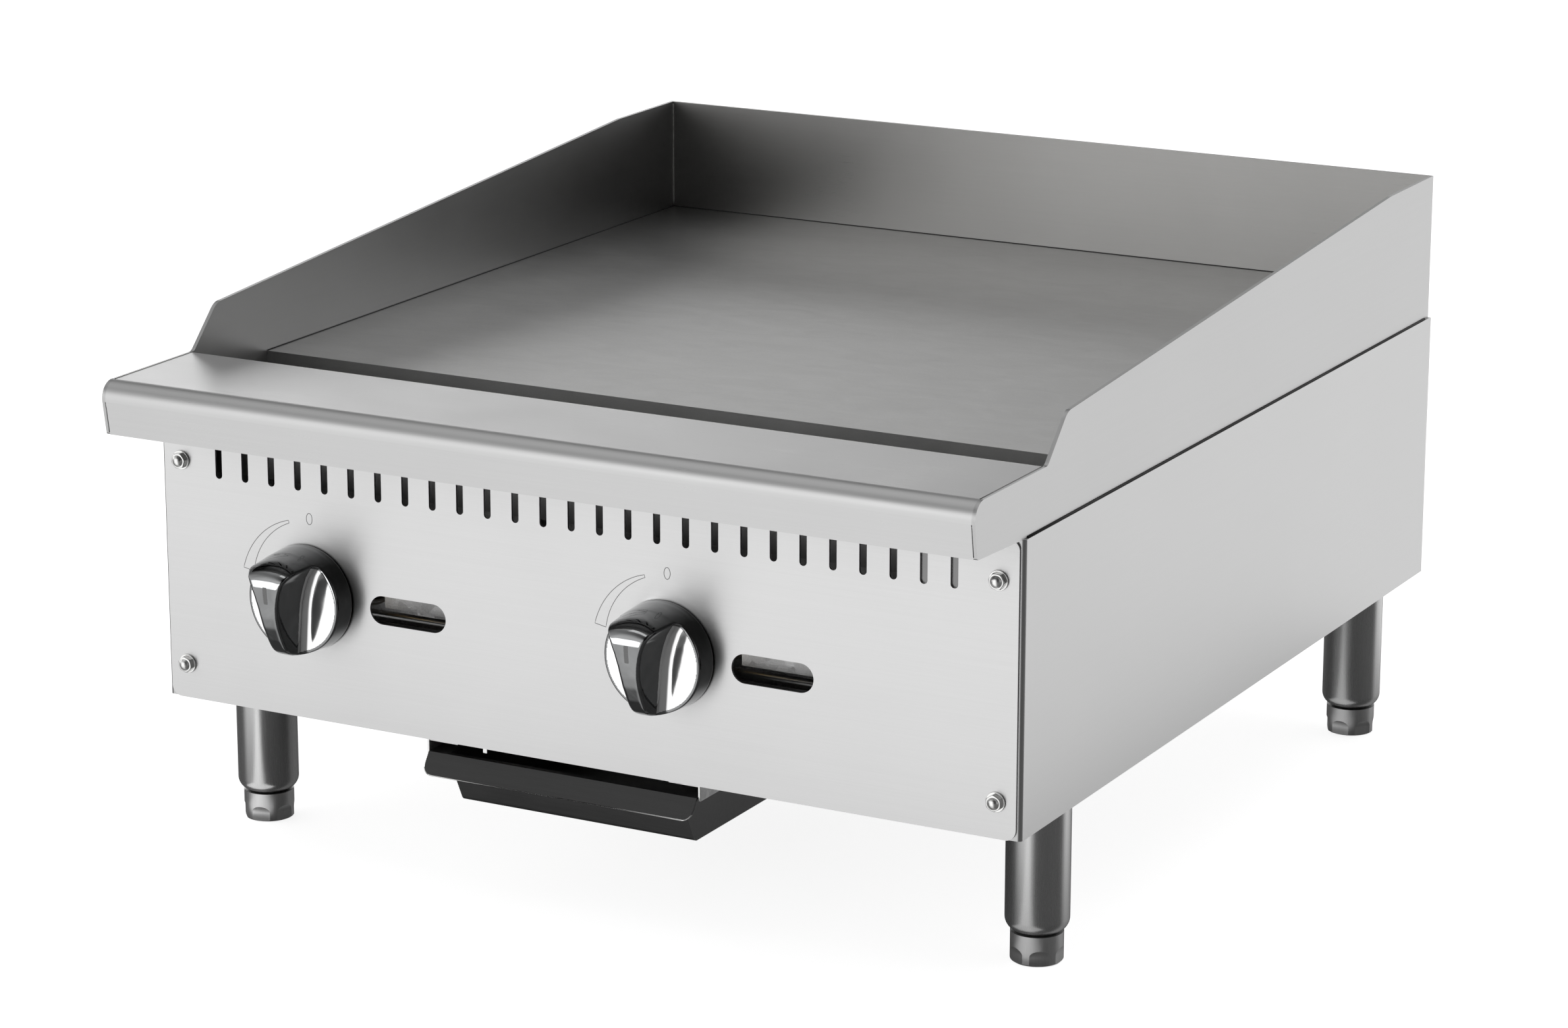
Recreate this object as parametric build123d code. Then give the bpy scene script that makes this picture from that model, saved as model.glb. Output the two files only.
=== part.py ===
from build123d import *
from functools import reduce
from operator import add
import math
import os

# Flat top gas griddle, countertop size, two U burners. Millimetres.
# X: width (+X is the right end seen from the front), Y: depth (-Y is the front), Z: up.
# The feet stand on Z = 0. Modelling Y = 0 is the lower front edge of the front ledge; on export
# every piece is shifted alike, so that the griddle is centred on X = 0, Y = 0.
# HW = half width, R = radius, T = thickness. Cutters overshoot the pieces they cut.

# ---- shared dimensions ----
BODY_HW = 609.6 / 2     # over the side panels
SPLASH_T = 2.5
TOP_HW = 606.0 / 2      # over the splash sheets
INNER_HW = TOP_HW - SPLASH_T
BACK_Y = 715.5          # outside of the back splash
SPLASH_LOW, SPLASH_TOP = 285.8, 386.0
SHEET, THIN_SHEET = 1.5, 1.2
PANEL_Y, PANEL_T = 58.3, 1.5        # front face of the front panel
FLANGE_Y = PANEL_Y + PANEL_T        # front of the side panels
REAR_Y = BACK_Y - 0.5               # front face of the rear panel
BODY_LOW = 101.4
BOTTOM_FOLD = 45.0
CROSS_Y = (340, 372)                # tray cross member

BURNER_R, BURNER_WALL, BURNER_PITCH = 22.0, 1.6, 130.0
KNOB_X = (-194.6, -194.6 + 2 * BURNER_PITCH)
KNOB_Z = 182.5                      # also the axis of valves and burners
STEM_R = 4.0
RUN = 0.05                          # radial running clearance
MANIFOLD_Y, MANIFOLD_Z, MANIFOLD_R = 85.0, 153.0, 10.65
INLET_X, INLET_END = 270.0, 745.0
BRACKET_X, BRACKET_HW = (-60.0, 200.0), 15
LEG_X, LEG_Y = 281.5, (134.0, 648.0)
TRAY_X = -9.7
SIDES = (-1, 1)                     # left, right

# Fastener places
PANEL_NUT_X, PANEL_NUT_Z = 288.8, (124.4, 260.0)
PANEL_HOLE_R = 3.2
TOP_STUD_X, TOP_STUD_Y = 289.0, (230.0, 660.0)
REAR_SCREW_X, REAR_SCREW_Z = 295.0, (130.0, 193.0, 256.0)
RAIL_SCREW_X = (TRAY_X - 90, TRAY_X + 90)
RAIL_SCREW_Y = (70.0, sum(CROSS_Y) / 2)
SCREW_R = 2.0


# ---- helpers ----
def slab(x0, x1, y0, y1, z0, z1):
    centre = Pos((x0 + x1) / 2, (y0 + y1) / 2, (z0 + z1) / 2)
    return centre * Box(abs(x1 - x0), abs(y1 - y0), abs(z1 - z0))


def rod_x(x0, x1, y, z, radius):
    return Pos((x0 + x1) / 2, y, z) * Rot(0, 90, 0) * Cylinder(radius, abs(x1 - x0))


def rod_y(x, y0, y1, z, radius):
    return Pos(x, (y0 + y1) / 2, z) * Rot(90, 0, 0) * Cylinder(radius, abs(y1 - y0))


def rod_z(x, y, z0, z1, radius):
    return Pos(x, y, (z0 + z1) / 2) * Cylinder(radius, abs(z1 - z0))


def disc(z, radius, height, taper=0):
    return Pos(0, 0, z) * extrude(Circle(radius), height, taper=taper)


def hex_prism(across_flats, height):
    return extrude(RegularPolygon(across_flats / math.sqrt(3), 6), height)


def joined(shapes):
    return reduce(add, shapes)


def rim(solid, index):
    """Circular edge of a solid by height: 0 is the lowest, -1 the highest."""
    return solid.edges().filter_by(GeomType.CIRCLE).sort_by(Axis.Z)[index]


def unit(u, v):
    length = math.hypot(u, v)
    return u / length, v / length


def outline(points):
    """Closed face through (u, v, corner radius) points, with tangent arcs at the corners."""
    corners = []        # (arc start, arc middle or None, arc end)
    for i, (u, v, radius) in enumerate(points):
        if radius <= 0:
            corners.append(((u, v), None, (u, v)))
            continue
        before, after = points[i - 1], points[(i + 1) % len(points)]
        a = unit(before[0] - u, before[1] - v)
        b = unit(after[0] - u, after[1] - v)
        angle = math.acos(max(-1, min(1, a[0] * b[0] + a[1] * b[1])))
        middle = unit(a[0] + b[0], a[1] + b[1])
        reach = radius / math.tan(angle / 2)
        depth = radius / math.sin(angle / 2) - radius
        corners.append(((u + a[0] * reach, v + a[1] * reach),
                        (u + middle[0] * depth, v + middle[1] * depth),
                        (u + b[0] * reach, v + b[1] * reach)))
    edges = []
    for i, (start, middle, end) in enumerate(corners):
        if middle is not None:
            edges.append(ThreePointArc(start, middle, end))
        following = corners[(i + 1) % len(corners)][0]
        if math.hypot(following[0] - end[0], following[1] - end[1]) > 1e-6:
            edges.append(Line(end, following))
    return make_face(edges)


def side_profile(face, x0, x1):
    """Extrude a face drawn in (Y, Z) from x0 to x1."""
    return Pos(x0, 0, 0) * extrude(Plane.YZ * face, x1 - x0, dir=(1, 0, 0))


def front_plate(face, y_back, thickness):
    """Extrude a face drawn in (X, Z) forwards from y_back."""
    return Pos(0, y_back, 0) * Rot(90, 0, 0) * extrude(face, thickness, dir=(0, 0, 1))


# ---- top: ledge, splash sheets, plate, trough ----
LEDGE_LOW, LEDGE_TOP, LEDGE_REAR = 288.3, 322.5, 92.2
LEDGE_LEAN, LEDGE_R, LEDGE_T = 5.4, 11.0, 2.0
PLATE_T, PLATE_TOP, PLATE_FRONT = 19.05, 306.2, 173.4
PLATE_LOW = PLATE_TOP - PLATE_T
TROUGH_FLOOR, TROUGH_T, TROUGH_FRONT = 246.0, 1.9, 88.3
DRAIN_X, DRAIN_Y = TRAY_X, 135.0
DRAIN_FLANGE_HW = 38


def front_ledge():
    outer = outline([(0, LEDGE_LOW, 1.5), (-LEDGE_LEAN, LEDGE_TOP, LEDGE_R),
                     (LEDGE_REAR, LEDGE_TOP, 3.0), (LEDGE_REAR, 280, 0), (0, 280, 0)])
    lean_angle = math.atan2(LEDGE_LEAN, LEDGE_TOP - LEDGE_LOW)
    inner_y = LEDGE_T / math.cos(lean_angle)
    inner_top, inner_rear = LEDGE_TOP - LEDGE_T, LEDGE_REAR - LEDGE_T
    inner = outline([(inner_y, LEDGE_LOW, 0.1),
                     (inner_y - LEDGE_LEAN, inner_top, LEDGE_R - LEDGE_T),
                     (inner_rear, inner_top, 1.0), (inner_rear, 279, 0), (inner_y, 279, 0)])
    ledge = side_profile(outer - inner, -INNER_HW, INNER_HW)
    ledge -= slab(-400, 400, -20, 30, 270, LEDGE_LOW)
    ledge -= slab(-400, 400, 30, 120, 270, 300)
    # lower return
    return ledge + slab(-INNER_HW, INNER_HW, 1.2, 14, LEDGE_LOW, LEDGE_LOW + LEDGE_T)


def side_splash(x0, x1):
    # y, z, corner radius
    face = outline([(0, LEDGE_LOW, 1.5), (-LEDGE_LEAN, LEDGE_TOP, LEDGE_R),
                    (LEDGE_REAR, LEDGE_TOP, 5.0), (118.7, 349.4, 12.0), (634.5, 385.6, 0),
                    (BACK_Y, SPLASH_TOP, 0), (BACK_Y, SPLASH_LOW, 0), (60.0, SPLASH_LOW, 0)])
    return side_profile(face, x0, x1)


def grease_trough():
    trough = slab(-INNER_HW, INNER_HW, TROUGH_FRONT, PLATE_FRONT, TROUGH_FLOOR, 318)
    trough -= slab(-INNER_HW + TROUGH_T, INNER_HW - TROUGH_T, TROUGH_FRONT + TROUGH_T,
                   PLATE_FRONT - TROUGH_T, TROUGH_FLOOR + TROUGH_T, 330)
    # all but the front wall stop at a lower rim
    trough -= slab(-400, 400, LEDGE_REAR - LEDGE_T, 200, 297, 330)
    return trough - slab(DRAIN_X - 26, DRAIN_X + 26, DRAIN_Y - 20, DRAIN_Y + 20, 240, 260)


def drain_chute():
    half_x, half_y = 28, 22
    bore_x, bore_y = half_x - THIN_SHEET, half_y - THIN_SHEET
    chute = slab(DRAIN_X - half_x, DRAIN_X + half_x, DRAIN_Y - half_y, DRAIN_Y + half_y,
                 97, TROUGH_FLOOR)
    chute += slab(DRAIN_X - DRAIN_FLANGE_HW, DRAIN_X + DRAIN_FLANGE_HW, DRAIN_Y - 30,
                  DRAIN_Y + 32, TROUGH_FLOOR - THIN_SHEET, TROUGH_FLOOR)
    return chute - slab(DRAIN_X - bore_x, DRAIN_X + bore_x, DRAIN_Y - bore_y,
                        DRAIN_Y + bore_y, 90, 260)


# ---- body shell ----
TOP_FOLD, REAR_FOLD = 30, 20
FRONT_FOLD = {-1: 35.0, 1: 72.8}    # the right front fold has a wide upper tab
WIDE_FOLD = FRONT_FOLD[1]


def side_panel(side):
    """Folded sheet, modelled on the right and mirrored for the left."""
    fold = FRONT_FOLD[side]
    inside_y = FLANGE_Y + SHEET
    inside_x = BODY_HW - SHEET
    body = slab(BODY_HW - WIDE_FOLD, BODY_HW, FLANGE_Y, REAR_Y, BODY_LOW, SPLASH_LOW)
    corner = [e for e in body.edges().filter_by(Axis.Z)
              if e.center().X > 300 and e.center().Y < 100]
    body = fillet(corner, 3.0)
    body -= slab(0, inside_x, inside_y, REAR_Y - SHEET, BODY_LOW + SHEET, SPLASH_LOW - SHEET)
    body -= slab(0, BODY_HW - fold, 0, inside_y, 0, 400)
    body -= slab(0, BODY_HW - min(fold, 52.8), 0, inside_y, 0, 236)     # below the tab
    body -= slab(0, BODY_HW - TOP_FOLD, inside_y, 800, 200, 400)
    body -= slab(0, inside_x, inside_y, 178, 200, 400)      # top fold stops behind the trough
    body -= slab(0, BODY_HW - REAR_FOLD, REAR_Y - SHEET, 800, 0, 400)
    body -= slab(0, BODY_HW - BOTTOM_FOLD, inside_y, 800, 0, 200)
    # room for the front panel's lower return
    body -= slab(0, BODY_HW - 37, 0, 86, 0, BODY_LOW + SHEET + 2)
    for z in PANEL_NUT_Z:
        body -= rod_y(PANEL_NUT_X, 50, 70, z, PANEL_HOLE_R)
    for y in LEG_Y:
        body -= rod_z(LEG_X, y, 95, 110, 5.2)
    for y in TOP_STUD_Y:
        body -= rod_z(TOP_STUD_X, y, 280, 290, 4.4)
    for z in REAR_SCREW_Z:
        body -= rod_y(REAR_SCREW_X, 700, 720, z, SCREW_R)
    return body if side > 0 else mirror(body, about=Plane.YZ)


def rear_panel():
    vent_n, vent_pitch, vent_w, vent_h = 9, 50, 40, 12
    panel = slab(-BODY_HW, BODY_HW, REAR_Y, REAR_Y + SHEET, BODY_LOW, SPLASH_LOW - 0.5)
    panel -= rod_y(INLET_X, 700, 730, MANIFOLD_Z, 15.0)
    for side in SIDES:
        for z in REAR_SCREW_Z:
            panel -= rod_y(side * REAR_SCREW_X, 700, 720, z, SCREW_R)
    for i in range(vent_n):
        x = -220 + i * vent_pitch
        for z in (255, 232):
            panel -= slab(x, x + vent_w, 700, 730, z, z + vent_h)
    return panel


def front_panel():
    half, top = 301.8, SPLASH_LOW - 0.6
    tab_hw, tab_top = 298, 300
    slot_n, slot_pitch, slot_w, slot_l, slot_low = 27, 20.0, 5.0, 35.0, 251.0
    sight_x, sight_z, sight_l, sight_h = (-119.7, 139.3), 181.1, 56.0, 18.6
    face = outline([(-half, BODY_LOW, 7), (half, BODY_LOW, 7), (half, top, 6), (-half, top, 6)])
    face += outline([(-tab_hw, 260, 0), (tab_hw, 260, 0), (tab_hw, tab_top, 0),
                     (-tab_hw, tab_top, 0)])
    for i in range(slot_n):
        x = (i - (slot_n - 1) / 2) * slot_pitch
        face -= Pos(x, slot_low + slot_l / 2) * SlotOverall(slot_l, slot_w, rotation=90)
    for x in KNOB_X:
        face -= Pos(x, KNOB_Z) * Circle(8.0)
    for x in sight_x:
        face -= Pos(x, sight_z) * SlotOverall(sight_l, sight_h)
    for side in SIDES:
        for z in PANEL_NUT_Z:
            face -= Pos(side * PANEL_NUT_X, z) * Circle(PANEL_HOLE_R)
    panel = front_plate(face, FLANGE_Y, PANEL_T)
    returns = slab(-265, 265, PANEL_Y + 0.2, 80, BODY_LOW, BODY_LOW + SHEET)
    returns += slab(-tab_hw, tab_hw, PANEL_Y + 0.2, 74, tab_top - SHEET, tab_top)
    for x in RAIL_SCREW_X:
        returns -= rod_z(x, RAIL_SCREW_Y[0], 90, 110, SCREW_R)
    return panel + returns


def tray_cross_member():
    half = BODY_HW - BOTTOM_FOLD
    front, rear = CROSS_Y
    cross = (slab(-half, half, front, rear, BODY_LOW, 118)
             - slab(-300, 300, front + SHEET, rear - SHEET, BODY_LOW + SHEET, 130))
    for x in RAIL_SCREW_X:
        cross -= rod_z(x, RAIL_SCREW_Y[1], 90, 110, SCREW_R)
    return cross


SHIELD_LOW = 124
SHIELD_TOP = SHIELD_LOW + THIN_SHEET


def bottom_heat_shield():
    half, front = BODY_HW - SHEET, 180
    shield = slab(-half, half, front, REAR_Y - SHEET, SHIELD_LOW, SHIELD_TOP)
    return shield + slab(-half, half, front, front + THIN_SHEET, 112, SHIELD_LOW)


def front_baffle():
    half = 245
    baffle = (slab(-half, half, 104, 105, 167, TROUGH_FLOOR)
              + slab(-half, half, 96, 104, TROUGH_FLOOR - 1, TROUGH_FLOOR))
    for x in KNOB_X:
        baffle -= slab(x - 28, x + 28, 100, 110, 150, 216)
    # notches around the chute flange and the manifold brackets
    notch = DRAIN_FLANGE_HW + 0.5
    baffle -= slab(DRAIN_X - notch, DRAIN_X + notch, 95, 106,
                   TROUGH_FLOOR - THIN_SHEET, TROUGH_FLOOR)
    notch = BRACKET_HW + 0.5
    for x in BRACKET_X:
        baffle -= slab(x - notch, x + notch, 95, 98, 240, 250)
    return baffle


# ---- fasteners of the body and of the top ----
WASHER_T, CAP_NUT_H = 1.2, 3.0
PANEL_STUD_R, PANEL_STUD_END = 3.0, PANEL_Y - 4.8
PANEL_STUDS_XZ = [(side * PANEL_NUT_X, z) for side in SIDES for z in PANEL_NUT_Z]
TOP_STUDS_XY = [(side * TOP_STUD_X, y) for side in SIDES for y in TOP_STUD_Y]


def panel_stud(x, z):
    shank_end = FLANGE_Y + SHEET
    return (rod_y(x, PANEL_STUD_END, shank_end, z, PANEL_STUD_R)
            + rod_y(x, shank_end, shank_end + 2, z, 5.0))


def panel_washer(x, z):
    return (rod_y(x, PANEL_Y - WASHER_T, PANEL_Y, z, 6.2)
            - rod_y(x, PANEL_Y - 5, PANEL_Y + 1, z, PANEL_HOLE_R))


def panel_cap_nut(x, z):
    turn = 17.0 * (z / 60)      # as tightened, degrees
    base = (Pos(x, PANEL_Y - WASHER_T, z) * Rot(90, 0, 0)
            * (Rot(0, 0, turn) * hex_prism(9.6, CAP_NUT_H)))
    cap = extrude(Circle(3.75), 2.4)
    cap = fillet(rim(cap, -1), 1.7)
    dome = Pos(x, PANEL_Y - WASHER_T - CAP_NUT_H, z) * Rot(90, 0, 0) * cap
    return base + dome - rod_y(x, PANEL_STUD_END, PANEL_Y, z, PANEL_STUD_R)


def top_stud(x, y):
    return rod_z(x, y, 264, PLATE_LOW, 4.0)


def top_nut(x, y):
    height = 6.8
    return (Pos(x, y, SPLASH_LOW - SHEET - height) * hex_prism(13.0, height)
            - rod_z(x, y, 250, 300, 4.0))


def rear_screw(x, z):
    seat = REAR_Y + SHEET
    screw = rod_y(x, seat, seat + 2.4, z, 4.0) + rod_y(x, 706, seat, z, SCREW_R)
    return screw - slab(x - 2.6, x + 2.6, seat + 1.2, 730, z - 0.5, z + 0.5)


def body_screws():
    head_low, head_top = 98.2, 100.2
    parts = []
    for side, x_rail in zip(SIDES, RAIL_SCREW_X):
        parts += [rear_screw(side * REAR_SCREW_X, z) for z in REAR_SCREW_Z]
        for y in RAIL_SCREW_Y:
            parts.append(rod_z(x_rail, y, head_low, head_top, 3.6))
            parts.append(rod_z(x_rail, y, head_top, 107, SCREW_R))
    return joined(parts)


# ---- gas train ----
MANIFOLD_END, MANIFOLD_BORE_R = 262, 8.0
PIPE_START, PIPE_R, PIPE_BORE_R = 98, 13.335, 10.5
THREAD_R, THREAD_L = 13.1, 20
PILOT_VALVE_DX, PILOT_HEAD_DX = -40, 73     # from the knob axis
VALVE_END = 109


def gas_manifold():
    manifold = (rod_x(-252, MANIFOLD_END, MANIFOLD_Y, MANIFOLD_Z, MANIFOLD_R)
                - rod_x(-248, 270, MANIFOLD_Y, MANIFOLD_Z, MANIFOLD_BORE_R))
    for x in KNOB_X:
        manifold -= rod_z(x, MANIFOLD_Y, MANIFOLD_Z, MANIFOLD_Z + 20, 6.0)
        manifold -= rod_y(x + PILOT_VALVE_DX, MANIFOLD_Y, MANIFOLD_Y + 20, MANIFOLD_Z, 3.0)
    return manifold


def inlet_elbow():
    elbow = (rod_x(252, INLET_X, MANIFOLD_Y, MANIFOLD_Z, 17)
             + rod_y(INLET_X, MANIFOLD_Y, 112, MANIFOLD_Z, 17.5))
    elbow += Pos(INLET_X, MANIFOLD_Y, MANIFOLD_Z) * Sphere(17.2)
    elbow -= (rod_x(250, MANIFOLD_END, MANIFOLD_Y, MANIFOLD_Z, MANIFOLD_R)
              + rod_x(MANIFOLD_END, INLET_X, MANIFOLD_Y, MANIFOLD_Z, MANIFOLD_BORE_R))
    elbow -= (rod_y(INLET_X, PIPE_START, 113, MANIFOLD_Z, PIPE_R)
              + rod_y(INLET_X, MANIFOLD_Y, PIPE_START, MANIFOLD_Z, PIPE_BORE_R))
    return elbow


def inlet_pipe():
    thread_start = INLET_END - THREAD_L
    return (rod_y(INLET_X, PIPE_START, thread_start, MANIFOLD_Z, PIPE_R)
            + rod_y(INLET_X, thread_start, INLET_END, MANIFOLD_Z, THREAD_R)
            - rod_y(INLET_X, 90, INLET_END + 5, MANIFOLD_Z, PIPE_BORE_R))


def manifold_bracket(x):
    y = MANIFOLD_Y + MANIFOLD_R
    return slab(x - BRACKET_HW, x + BRACKET_HW, y, y + 2, 138, TROUGH_FLOOR)


def gas_valve(x):
    """Body along Y, inlet leg down into the manifold, outlet at the rear."""
    valve = (rod_y(x, 70, 104, KNOB_Z, 13.5) + rod_y(x, 64, 70, KNOB_Z, 9.5)
             + rod_y(x, 104, VALVE_END, KNOB_Z, 8.0))
    valve += rod_z(x, MANIFOLD_Y, MANIFOLD_Z + 9.0, KNOB_Z, 6.0)
    valve += Pos(x, MANIFOLD_Y, MANIFOLD_Z + MANIFOLD_R) * hex_prism(17.0, 7.0)
    valve -= rod_y(x, 60, 80, KNOB_Z, STEM_R + RUN)
    return valve - rod_y(x, 92, 112, KNOB_Z, 2.5)


def orifice_hood(x):
    hood = Pos(x, 123, KNOB_Z) * Rot(90, 0, 0) * hex_prism(14.0, 14.0)
    hood -= rod_y(x, 104, VALVE_END, KNOB_Z, 8.0)
    return hood - (rod_y(x, 100, 120, KNOB_Z, 2.5) + rod_y(x, 119, 125, KNOB_Z, 0.9))


def stem(x, y_rear):
    """D-section rod, flat on its right side ahead of y = 62."""
    return (rod_y(x, 36, y_rear, KNOB_Z, STEM_R)
            - slab(x + 2.8, x + 6, 30, 62, KNOB_Z - 6, KNOB_Z + 6))


# ---- knob: local Z points out of the panel, local Y up ----
KNOB_R, SKIRT_H, KNOB_H, KNOB_GAP, TRIM_R = 34.4, 16.7, 47.3, 1.3, 31.3
TRIM_SEAT = SKIRT_H - 1.0


def knob(x):
    """Returns the moulding (skirt and grip bar) and the face trim."""
    skirt = disc(KNOB_GAP, KNOB_R, SKIRT_H - KNOB_GAP, taper=3.3)
    skirt = fillet(rim(skirt, -1), 1.2)
    skirt -= disc(TRIM_SEAT, TRIM_R, 5)
    grip_low = SKIRT_H - 1.2
    plan = make_face(Polyline((-16, 35), (-7.8, -35), (7.8, -35), (16, 35), close=True))
    grip = Pos(0, 0, grip_low) * extrude(plan, KNOB_H - SKIRT_H + 2, taper=4.5)
    # side view of the grip: local y, local z, corner radius
    crest = outline([(-40, 12, 0), (-38, 25, 0), (-28, 32.8, 5), (-3.4, 44.3, 30),
                     (20, KNOB_H, 5), (31, 43.5, 2), (40, 40, 0), (40, 12, 0)])
    grip = grip & side_profile(crest, -40, 40)
    grip = grip & disc(grip_low, KNOB_R - 1.6, 40, taper=4)
    trim = disc(TRIM_SEAT, TRIM_R, 0.8) - grip
    body = skirt + grip
    # ring-shaped hollow in the back
    body -= Pos(0, 0, KNOB_GAP - 1) * (extrude(Circle(28.5), 8) - extrude(Circle(8.5), 10))
    place = Pos(x, PANEL_Y, KNOB_Z) * Rot(90, 0, 0)
    return place * body - stem(x, 60), place * trim


# ---- burners and pilots ----
def burner(x):
    """U tube: inlet leg behind the knob, capped return leg one pitch to the right."""
    front, bend_y, return_front = 130.0, 625.0, 186
    port_n, port_pitch, port_r = 22, 19.5, 1.3
    bend_r = BURNER_PITCH / 2
    x_back = x + BURNER_PITCH
    path = (Line((x, front, KNOB_Z), (x, bend_y, KNOB_Z))
            + ThreePointArc((x, bend_y, KNOB_Z), (x + bend_r, bend_y + bend_r, KNOB_Z),
                            (x_back, bend_y, KNOB_Z))
            + Line((x_back, bend_y, KNOB_Z), (x_back, return_front, KNOB_Z)))
    section = Plane(origin=(x, front, KNOB_Z), z_dir=(0, 1, 0))
    outer = sweep(section * Circle(BURNER_R), path)
    inner = sweep(section * Circle(BURNER_R - BURNER_WALL), path)
    cap = rod_y(x_back, return_front - BURNER_WALL, return_front, KNOB_Z, BURNER_R)
    ports = joined(rod_x(leg - 30, leg + 30, 200 + i * port_pitch, KNOB_Z + 8, port_r)
                   for i in range(port_n) for leg in (x, x_back))
    return outer - inner + cap - ports


def air_shutter(x):
    shutter = (rod_y(x, 126, 150, KNOB_Z, BURNER_R + 1.25)
               - rod_y(x, 120, 160, KNOB_Z, BURNER_R + RUN))
    for reach in (40, -40):     # upper and lower windows
        shutter -= slab(x - 12, x + 12, 128, 140, KNOB_Z, KNOB_Z + reach)
    return shutter


PILOT_TUBE_START, PILOT_HEAD_Y, PILOT_HEAD_LOW = 112, 165, 163


def pilot_valve(x):
    valve = (rod_y(x, MANIFOLD_Y + 8.5, PILOT_TUBE_START, MANIFOLD_Z, 3.0)
             + rod_y(x, 97, 110, MANIFOLD_Z, 6.5))
    return valve + rod_z(x, 103.5, MANIFOLD_Z - 12, MANIFOLD_Z, 3.5)


def pilot_tube(x_valve, x_head):
    run_y = 132
    points = [Vector(x_valve, PILOT_TUBE_START, MANIFOLD_Z), Vector(x_valve, run_y, MANIFOLD_Z),
              Vector(x_head, run_y, MANIFOLD_Z), Vector(x_head, PILOT_HEAD_Y, MANIFOLD_Z),
              Vector(x_head, PILOT_HEAD_Y, PILOT_HEAD_LOW)]
    path = FilletPolyline(*points, radius=6)
    return sweep(Plane(origin=points[0], z_dir=(0, 1, 0)) * Circle(2.2), path)


def pilot_burner(x):
    return (rod_z(x, PILOT_HEAD_Y, PILOT_HEAD_LOW, 176, 4.5)
            + slab(x - 7, x + 7, 159, 171, 176, 177.2)
            + slab(x - 7, x + 7, 169.8, 171, 177.2, 184))


def burner_rest(y):
    """Channel open to the rear, between the heat shield and the burner tubes."""
    left, right, depth = -290, 250, 16
    top = KNOB_Z - BURNER_R
    return (slab(left, right, y, y + SHEET, SHIELD_TOP, top)
            + slab(left, right, y, y + depth, top - SHEET, top)
            + slab(left, right, y, y + depth, SHIELD_TOP, SHIELD_TOP + SHEET))


# ---- legs and feet ----
LEG_R, LEG_LOW, FOOT_R, SPIGOT_R, LEG_STUD_R = 20.0, 19.0, 16.5, 6.0, 5.0
LEG_STUD_LOW = BODY_LOW - 10
LEGS = {    # x, y, turn of the foot as screwed in (degrees)
    "front_left": (-LEG_X, LEG_Y[0], 43.0),
    "front_right": (LEG_X, LEG_Y[0], 1.0),
    "rear_left": (-LEG_X, LEG_Y[1], 20.0),
    "rear_right": (LEG_X, LEG_Y[1], 26.0),
}


def leg(x, y):
    tube = disc(LEG_LOW, LEG_R, BODY_LOW - LEG_LOW)
    tube = fillet(rim(tube, 0), 9.0)
    tube -= disc(45, LEG_R - 2, LEG_STUD_LOW - 45)
    tube -= disc(LEG_LOW - 2, SPIGOT_R + RUN, 33)
    tube -= disc(88, LEG_STUD_R, 20)
    return Pos(x, y, 0) * tube


def foot(x, y, turn):
    flat_x = 15.3       # centre to each of the six flats
    body = extrude(Circle(FOOT_R), LEG_LOW)
    body = fillet(rim(body, 0), 1.5)
    for k in range(6):
        cutter = (Pos(flat_x + 10, 0, -4) * Box(20, 40, 20)
                  + Pos(flat_x + 8, 0, 6) * Rot(90, 0, 0) * Cylinder(8, 40))
        body -= Rot(0, 0, 60 * k + turn) * cutter
    body += disc(LEG_LOW, SPIGOT_R, 50)
    return Pos(x, y, 0) * body


def leg_nut(x, y):
    return (Pos(x, y, BODY_LOW + SHEET) * hex_prism(16.0, 8.0)
            - rod_z(x, y, 90, 120, LEG_STUD_R))


# ---- grease tray on its rails ----
TRAY_HW, TRAY_LOW, TRAY_RIM, TRAY_FLANGE_HW = 84.0, 57.5, 93.65, 96.5
RAIL_HW, RAIL_LOW = 98.2, 91.2
RIM_UNDER = TRAY_RIM - THIN_SHEET


def tray_rail(side):
    def band(inner, outer, z0, z1):
        return slab(TRAY_X + side * inner, TRAY_X + side * outer, 60.2, CROSS_Y[1], z0, z1)

    rail = band(RAIL_HW - THIN_SHEET, RAIL_HW, RAIL_LOW, BODY_LOW)
    rail += (band(76, RAIL_HW, BODY_LOW - THIN_SHEET, BODY_LOW)
             + band(86, RAIL_HW, RAIL_LOW, RAIL_LOW + THIN_SHEET))
    for y in RAIL_SCREW_Y:
        rail -= rod_z(TRAY_X + side * 90, y, 95, 110, SCREW_R)
    return rail


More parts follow.
